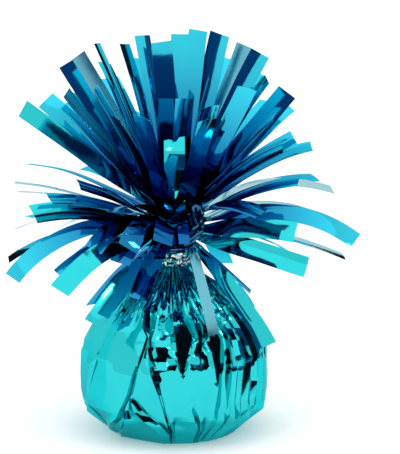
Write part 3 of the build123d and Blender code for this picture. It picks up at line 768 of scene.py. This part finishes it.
points = []
for row in range(TAPE_ROWS):
    height = TAPE_BOTTOM + TAPE_LENGTH * row / (TAPE_ROWS - 1)
    for column in range(TAPE_COLUMNS):
        angle = 2 * pi * column / TAPE_COLUMNS
        reach = TAPE_RADIUS + film_chance.uniform(-TAPE_CRUMPLE, TAPE_CRUMPLE)
        shift = film_chance.uniform(-TAPE_SHIFT, TAPE_SHIFT)
        points.append((reach * cos(angle), reach * sin(angle), height + shift))
tape_faces = grid_faces(TAPE_ROWS, TAPE_COLUMNS, 0, closed=True)
tape = new_piece("neck_tape_film", points, tape_faces, [clear_tape], crease=20)
thicken(tape, STRIP_FILM)
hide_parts("neck_tape")


# %% Rolled film
def rolled_film(name, path, sizes, turns, lobes, node, closed=False):
    """A tube along `path` with a section of `lobes` folds that winds round it; sizes are its radii."""
    columns = 6 * lobes
    points = []
    count = len(path)
    side = None
    for i, centre in enumerate(path):
        ahead = path[(i + 1) % count] if closed or i < count - 1 else centre
        behind = path[i - 1] if closed or i else centre
        along = (ahead - behind).normalized()
        if side is None:
            side = along.orthogonal().normalized()
        side = (side - along * side.dot(along)).normalized()
        other = along.cross(side)
        for column in range(columns):
            angle = 2 * pi * column / columns
            fold = abs(((angle * lobes / (2 * pi)) + 0.13 * sin(3 * angle)) % 1 - 0.5) * 2
            reach = sizes[i] * (0.55 + 0.45 * fold) * (1 + 0.10 * sin(0.45 * i + 2 * angle))
            lie = angle + 2 * pi * turns * i / count
            points.append(centre + side * (reach * cos(lie)) + other * (reach * sin(lie)))
    faces = grid_faces(count, columns, 0, closed=True)
    last = (count - 1) * columns
    if closed:
        for column in range(columns):
            beside = (column + 1) % columns
            faces.append((last + column, last + beside, beside, column))
    else:
        faces.append(tuple(reversed(range(columns))))
        faces.append(tuple(range(last, last + columns)))
    piece = new_piece(name, points, faces, [doubled_film_painted_shade], crease=25)
    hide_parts(node)
    return piece


TIE_HEIGHT = TAPE_BOTTOM + TAPE_LENGTH + 1.1
TIE_RING_RADIUS = 6.35
TIE_RADIUS = 0.95
RING_STEPS = 60

ring = []
for step in range(RING_STEPS):
    angle = 2 * pi * step / RING_STEPS
    height = TIE_HEIGHT + 0.15 * sin(5 * angle)
    ring.append(Vector((TIE_RING_RADIUS * cos(angle), TIE_RING_RADIUS * sin(angle), height)))
neck_tie = rolled_film("neck_tie_film", ring, [TIE_RADIUS] * RING_STEPS, 0, 4, "neck_tie", closed=True)
print("tie at", round(TIE_HEIGHT, 1), "mm")

# %% Knot and twisted end
KNOT_BEARING = radians(306)
KNOT_REACH = 9.0
KNOT_RISE = 1.6
KNOT_RADIUS = 2.4
KNOT_SCALE = 0.62
KNOT_FILM = 1.0
KNOT_STEPS = 72
TWIST_LENGTH = 15.1
TWIST_LEAN = radians(22)
TWIST_RADIUS = 2.9
TWIST_STEPS = 44
# Shares of the twist's length, and of its full radius there.
TWIST_PLACES = (0.0, 0.3, 0.75, 1.0)
TWIST_SHARES = (0.6, 1.0, 1.0, 0.55)

outward = Vector((cos(KNOT_BEARING), sin(KNOT_BEARING), 0))
knot_middle = outward * KNOT_REACH + Vector((0, 0, TIE_HEIGHT + KNOT_RISE))
# The loops of an overhand knot follow a trefoil.
loops = []
for step in range(KNOT_STEPS):
    t = 2 * pi * step / KNOT_STEPS
    trefoil = Vector((sin(t) + 2 * sin(2 * t), 1.1 * -sin(3 * t), cos(t) - 2 * cos(2 * t)))
    loops.append(knot_middle + trefoil * KNOT_SCALE)
tie_knot = rolled_film("tie_knot_film", loops, [KNOT_FILM] * KNOT_STEPS, 0, 3, "tie_knot", closed=True)

lean = outward * sin(TWIST_LEAN) + Vector((0, 0, cos(TWIST_LEAN)))
twist_path = []
twist_sizes = []
for step in range(TWIST_STEPS):
    share = step / (TWIST_STEPS - 1)
    sway = Vector((0.5 * sin(5 * share), 0, 0))
    twist_path.append(knot_middle + lean * (KNOT_RADIUS * 0.7 + TWIST_LENGTH * share) + sway)
    twist_sizes.append(TWIST_RADIUS * between(share, TWIST_PLACES, TWIST_SHARES, smooth=True))
tie_twist = rolled_film("tie_twist_film", twist_path, twist_sizes, 0.75, 4, "tie_twist")
print("tie:", [piece.name for piece in (neck_tie, tie_knot, tie_twist)])

# %% Flat end of the tie
END_ROW = (292, -48, 12, 15, 33)
END_WIDTH = 3.6
END_GAP = 0.1

end_bearing = radians(END_ROW[0])
end_out = Vector((cos(end_bearing), sin(end_bearing), 0))
shift = knot_middle + end_out * (KNOT_RADIUS + END_GAP) - Vector((0, 0, LOWEST_BAND))
points = [point + shift for point in strip_points(END_ROW, 0, 0.0, END_WIDTH, film_chance)]
end_faces = grid_faces(STRIP_SECTIONS, STRIP_COLUMNS)
tie_end = new_piece("tie_end_film", points, end_faces, [fringe_film, dull_film])
thicken(tie_end, STRIP_FILM)
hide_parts("tie_end")
print("tie end:", END_WIDTH, "by", END_ROW[4], "mm")

# %% [markdown]
# ## Hook, tub and ballast
# The hook is moulded in natural polypropylene: milky, a little see-through and glossy. The tub is a thin
# pressed cup and the ballast a grey cement with sand in it. Both are hidden in the film, but they keep their
# solids and get their own finishes, so that a cut or an opened model shows what they are. The grains are
# drawn with noise at their real size, so no picture is needed.

# %% Hook finish
MILK_CLOUD = 5.0
MOULD_GRAIN = 0.5

# Moulded polypropylene: cloudy white that light goes into, with a soft gloss.
hook_plastic, tree, output = new_material("natural_polypropylene_moulded")
place = add_node(tree, "ShaderNodeTexCoord")
flow = add_node(tree, "ShaderNodeTexNoise", None, {
    "Vector": place.outputs["Object"], "Scale": 1 / (MILK_CLOUD * MM), "Detail": 3.0})
milk = add_node(tree, "ShaderNodeMix", {"data_type": "RGBA"}, {
    "Factor": flow.outputs["Fac"], MIX_A: paint("#D3DCDD"), MIX_B: paint("#E6ECEC")})
grain = add_node(tree, "ShaderNodeTexNoise", None, {
    "Vector": place.outputs["Object"], "Scale": 1 / (MOULD_GRAIN * MM), "Detail": 2.0})
bump = add_node(tree, "ShaderNodeBump", None, {
    "Height": grain.outputs["Fac"], "Strength": 0.2, "Distance": 0.05 * MM})
shader = add_node(tree, "ShaderNodeBsdfPrincipled", None, {
    "Base Color": milk.outputs[MIX_RESULT], "Roughness": 0.28, "IOR": 1.49, "Transmission Weight": 0.35,
    "Normal": bump.outputs["Normal"]})
tree.links.new(shader.outputs["BSDF"], output.inputs["Surface"])
print("hook finish:", hook_plastic.name)

# %% Tub finish
TUB_GRAIN = 1.2

# Pressed polystyrene: plain grey white, half matt, with the orange peel of the press.
tub_plastic, tree, output = new_material("polystyrene_tub_pressed")
place = add_node(tree, "ShaderNodeTexCoord")
grain = add_node(tree, "ShaderNodeTexNoise", None, {
    "Vector": place.outputs["Object"], "Scale": 1 / (TUB_GRAIN * MM), "Detail": 3.0})
bump = add_node(tree, "ShaderNodeBump", None, {
    "Height": grain.outputs["Fac"], "Strength": 0.3, "Distance": 0.1 * MM})
shader = add_node(tree, "ShaderNodeBsdfPrincipled", None, {
    "Base Color": paint("#CDD1D0"), "Roughness": 0.5, "IOR": 1.55, "Normal": bump.outputs["Normal"]})
tree.links.new(shader.outputs["BSDF"], output.inputs["Surface"])
print("tub finish:", tub_plastic.name)

# %% Ballast finish
SAND = 0.9

# Cast cement: matt grey, gritty with grains of sand.
cement, tree, output = new_material("cement_cast_with_sand")
place = add_node(tree, "ShaderNodeTexCoord")
sand = add_node(tree, "ShaderNodeTexVoronoi", None, {
    "Vector": place.outputs["Object"], "Scale": 1 / (SAND * MM)})
grit = add_node(tree, "ShaderNodeMix", {"data_type": "RGBA"}, {
    "Factor": sand.outputs["Distance"], MIX_A: paint("#8E8A84"), MIX_B: paint("#A9A59E")})
bump = add_node(tree, "ShaderNodeBump", None, {
    "Height": sand.outputs["Distance"], "Strength": 0.7, "Distance": 0.3 * MM})
shader = add_node(tree, "ShaderNodeBsdfPrincipled", None, {
    "Base Color": grit.outputs[MIX_RESULT], "Roughness": 0.9, "Normal": bump.outputs["Normal"]})
tree.links.new(shader.outputs["BSDF"], output.inputs["Surface"])

for name, material in (("hook", hook_plastic), ("ballast_tub", tub_plastic), ("ballast", cement)):
    nodes[name].data.materials.clear()
    nodes[name].data.materials.append(material)
print("ballast finish:", cement.name)

# %% [markdown]
# ## Light
# The picture was taken on a white sweep under broad soft light. A mirror shows its surroundings, so they
# matter more than the lamps: white all round and below gives the bright teal. A very wide sun does the work
# of a softbox and lights the floor evenly, and two small lamps, too weak to light anything by themselves, put
# the sharp glints on the folds.

# %% World
SKY_LIGHT = 0.86
WHITE = (1, 1, 1, 1)


def seen_rays(tree):
    """1 for rays that show the surroundings to the eye, straight or in mirrors and clear things, else 0."""
    path = add_node(tree, "ShaderNodeLightPath")
    either = add_node(tree, "ShaderNodeMath", {"operation": "MAXIMUM"}, {
        0: path.outputs["Is Camera Ray"], 1: path.outputs["Is Glossy Ray"]})
    seen = add_node(tree, "ShaderNodeMath", {"operation": "MAXIMUM"}, {
        0: either.outputs[0], 1: path.outputs["Is Transmission Ray"]})
    return seen.outputs[0]


world = bpy.data.worlds.new("white_sweep")
scene.world = world
world.use_nodes = True
tree = world.node_tree
tree.nodes.clear()
output = add_node(tree, "ShaderNodeOutputWorld")
sky = add_node(tree, "ShaderNodeBackground", None, {"Color": WHITE, "Strength": SKY_LIGHT})
white = add_node(tree, "ShaderNodeBackground", None, {"Color": WHITE, "Strength": 1.0})
mix = add_node(tree, "ShaderNodeMixShader", None, {
    0: seen_rays(tree), 1: sky.outputs[0], 2: white.outputs[0]})
tree.links.new(mix.outputs[0], output.inputs["Surface"])
scene.view_settings.view_transform = "Standard"
print("world light:", SKY_LIGHT)

# %% Lamps
SUN_STRENGTH = 0.3
GLINT_POWER = 0.3
GLINT_SIZE = 0.06
GLINT_AIM = Vector((0, 0, 0.07))
GLINT_PLACES = (Vector((-0.35, -0.45, 0.65)), Vector((0.45, -0.30, 0.60)))

sun = bpy.data.objects.new("soft_sun", bpy.data.lights.new("soft_sun", "SUN"))
sun.data.energy = SUN_STRENGTH
sun.data.angle = radians(70)
sun.rotation_euler = (radians(12), radians(-8), 0)
scene.collection.objects.link(sun)
for number, spot in enumerate(GLINT_PLACES):
    glint = bpy.data.objects.new(f"glint_lamp_{number}", bpy.data.lights.new(f"glint_lamp_{number}", "AREA"))
    glint.data.size = GLINT_SIZE
    glint.data.energy = GLINT_POWER
    glint.location = spot
    glint.rotation_euler = (GLINT_AIM - spot).to_track_quat("-Z", "Y").to_euler()
    scene.collection.objects.link(glint)
print("lamps:", 1 + len(GLINT_PLACES))

# %% [markdown]
# ## Floor
# The weight stands on white card. The film throws a teal light on it, which the card shows only in a small
# shadow at the foot. That teal is painted light: the card is given back a little red and glows by itself in
# teal grey, for the eye and in mirrors only: less close to the foot, where the shadow stays, and up to white
# farther out, painted light that narrows the shadow.

# %% Floor
FLOOR_SIZE = 6.0
# Distances from the middle of the foot between which the card's own light grows, painted light that
# narrows the shadow.
SHADOW_NEAR = 26
SHADOW_FAR = 46

floor_white, tree, output = new_material("white_card_floor")
place = add_node(tree, "ShaderNodeTexCoord")
apart = add_node(tree, "ShaderNodeVectorMath", {"operation": "LENGTH"}, {0: place.outputs["Object"]})
away = add_node(tree, "ShaderNodeMapRange", {"interpolation_type": "SMOOTHSTEP"}, {
    "Value": apart.outputs["Value"], "From Min": SHADOW_NEAR * MM, "From Max": SHADOW_FAR * MM})
# Painted light: the card's own light is teal grey near the foot, for the film's teal bounce in the shadow, and
# brighter farther out, which narrows the shadow.
backdrop_and_painted_light = add_node(tree, "ShaderNodeMix", {"data_type": "RGBA"}, {
    "Factor": away.outputs["Result"], MIX_A: paint("#6F8686"), MIX_B: paint("#9BABAB")})
grain = add_node(tree, "ShaderNodeTexNoise", None, {"Scale": 400.0, "Detail": 2.0})
bump = add_node(tree, "ShaderNodeBump", None, {"Height": grain.outputs["Fac"], "Strength": 0.02})
# The card's faint red is painted too: with the teal light it sums to white where lit and leaves the shadow
# teal.
shader = add_node(tree, "ShaderNodeBsdfPrincipled", None, {
    "Base Color": paint("#F3E9E9"), "Roughness": 0.9, "Specular IOR Level": 0.0,
    "Normal": bump.outputs["Normal"],
    "Emission Color": backdrop_and_painted_light.outputs[MIX_RESULT], "Emission Strength": seen_rays(tree)})
tree.links.new(shader.outputs["BSDF"], output.inputs["Surface"])

mesh = bpy.data.meshes.new("floor")
corners = [(x * FLOOR_SIZE, y * FLOOR_SIZE, 0) for x, y in ((-1, -1), (1, -1), (1, 1), (-1, 1))]
mesh.from_pydata(corners, [], [(0, 1, 2, 3)])
mesh.materials.append(floor_white)
ground = bpy.data.objects.new("floor", mesh)
scene.collection.objects.link(ground)
print("floor:", floor_white.name)

# %% [markdown]
# ## Dark panels
# A mirror in an all-white room looks like pale paint. The black flames on the shoulder and the blues of the
# fringe are the rest of the studio, seen in the film. Painting them on would be wrong from any other side, so
# bent cards stand round the weight where that room would be. Only mirrors see them: they are hidden from the
# camera, cast no shadow and throw no light on the rest.

# %% Dark panels
# First and last bearing in degrees, distance, lowest and highest edge in metres, and colour.
DARK_PANELS = (
    # A card close in front, for the flames on the shoulder.
    (250, 302, 0.10, 0.036, 0.106, "#0D1820"),
    # Three bands behind it: dark for the steep pleats, then two blues for the fringe.
    (238, 324, 0.30, 0.00, 0.06, "#0D1820"),
    (238, 324, 0.30, 0.06, 0.14, "#5C93C4"),
    (238, 324, 0.30, 0.14, 0.30, "#1F4C80"),
    # A blue one on the right, and two dark ones behind for the strips that lean back.
    (8, 40, 0.35, 0.12, 0.36, "#2E5F8E"),
    (40, 62, 0.40, 0.00, 0.30, "#12202A"),
    (120, 142, 0.40, 0.00, 0.30, "#12202A"),
)
PANEL_STEP = 5


def dark_panel(name, first, last, distance, low, high, colour):
    """An upright bent card that only mirrors can see."""
    card, tree, output = new_material(name + "_card")
    shader = add_node(tree, "ShaderNodeBsdfPrincipled", None, {
        "Base Color": paint(colour), "Roughness": 1.0, "Specular IOR Level": 0.0})
    tree.links.new(shader.outputs["BSDF"], output.inputs["Surface"])
    count = round((last - first) / PANEL_STEP) + 1
    corners = []
    for height in (low, high):
        for step in range(count):
            angle = radians(first + (last - first) * step / (count - 1))
            corners.append((distance * cos(angle), distance * sin(angle), height))
    mesh = bpy.data.meshes.new(name)
    mesh.from_pydata(corners, [], grid_faces(2, count))
    mesh.materials.append(card)
    panel = bpy.data.objects.new(name, mesh)
    scene.collection.objects.link(panel)
    panel.visible_camera = False
    panel.visible_diffuse = False
    panel.visible_shadow = False


for index, row in enumerate(DARK_PANELS):
    dark_panel(f"dark_panel_{index}", *row)
print("dark panels:", len(DARK_PANELS))
